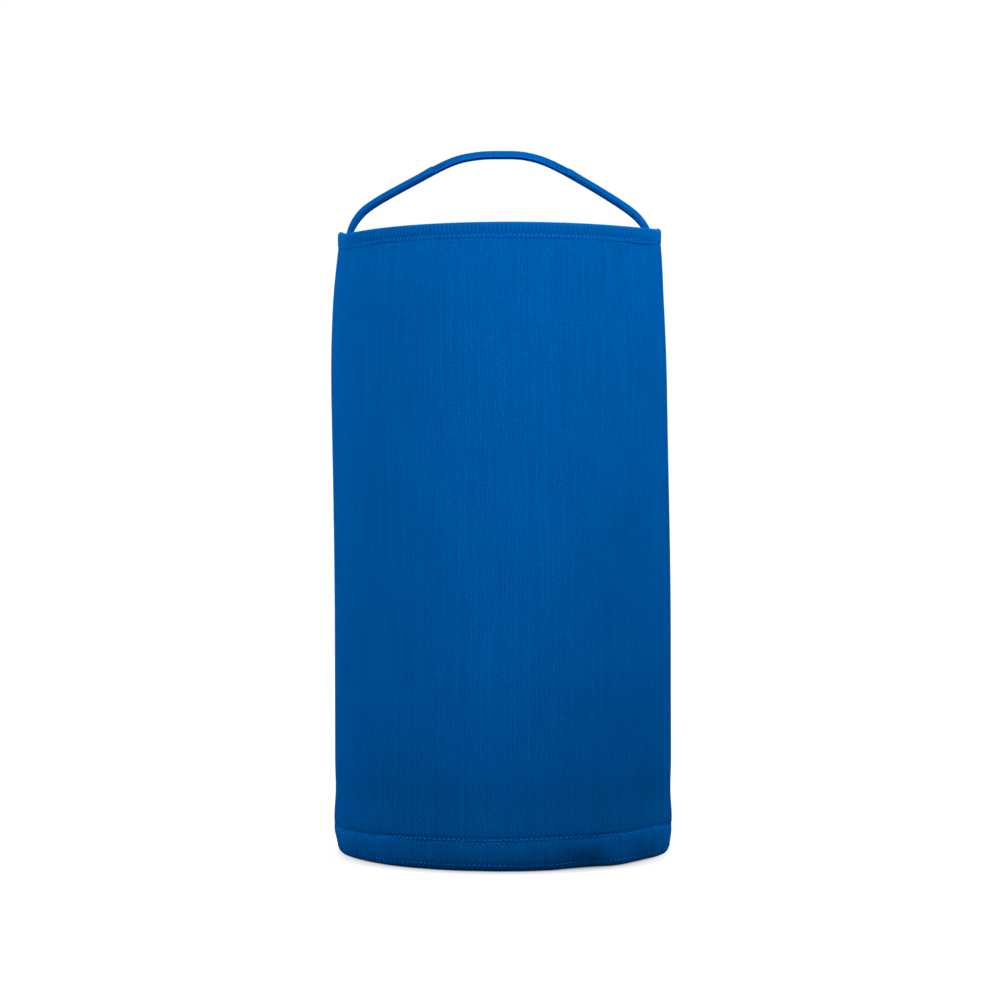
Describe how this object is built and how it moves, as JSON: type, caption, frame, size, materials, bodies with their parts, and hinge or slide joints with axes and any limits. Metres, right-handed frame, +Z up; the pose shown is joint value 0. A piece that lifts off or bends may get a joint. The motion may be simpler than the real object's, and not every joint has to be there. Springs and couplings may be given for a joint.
{
  "type": "cold compression sleeve",
  "caption": "Pull-on knit cold compression sleeve with gel cells between shell and lining, a gathered mouth binding, a stitched bottom hem and a soft loop handle.",
  "frame": {"origin": "on the sleeve's axis, in the plane of the bottom hem it stands on", "axes": "+Z up along the sleeve's axis, +X from the left handle anchor to the right one, -Y the front"},
  "size_m": [0.1638, 0.1638, 0.3369],
  "materials": {
    "shell_knit": "fine knit, matt with a soft sheen",
    "hem_knit": "folded knit, matt",
    "gathered_binding": "gathered ribbed knit, matt",
    "lining_knit": "brushed knit, matt",
    "strap_knit": "folded knit tape, matt",
    "strap_tape": "woven tape, matt",
    "thread": "polyester thread, slight sheen",
    "elastic": "braided elastic, matt",
    "film": "thin polyurethane film",
    "gel": "soft cold gel"
  },
  "bodies": {
    "sleeve": {"outer_shell": "shell_knit", "back_seam": "thread", "inner_lining": "lining_knit", "lining_seam": "thread", "bottom_hem": "hem_knit", "top_binding": "gathered_binding", "top_elastic": "elastic", "hem_upper_stitching": "thread", "hem_lower_stitching": "thread", "top_stitching": "thread", "gel_film_outer": "film", "gel_film_inner": "film", "gel_cell_1": "gel", "gel_cell_2": "gel", "gel_cell_3": "gel", "gel_cell_4": "gel", "gel_cell_5": "gel", "gel_cell_6": "gel", "gel_cell_7": "gel", "gel_cell_8": "gel", "strap_root_left": "strap_knit", "strap_root_right": "strap_knit", "anchor_patch_left": "lining_knit", "anchor_patch_right": "lining_knit", "anchor_stitching_left": "thread", "anchor_stitching_right": "thread"},
    "handle": {"strap_tape": "strap_tape", "strap_cover_left": "strap_knit", "strap_cover_right": "strap_knit", "grip_wrap": "strap_knit", "grip_whipping_left": "thread", "grip_whipping_right": "thread", "strap_stitching_left": "thread", "strap_stitching_right": "thread"}
  },
  "joints": [
    {"name": "handle_swing", "type": "hinge", "parent": "sleeve", "child": "handle", "pos_m": [0, 0, 0.297], "axis": [1, 0, 0], "range_deg": [-80, 80], "stiffness_Nm_per_rad": 0.02}
  ]
}
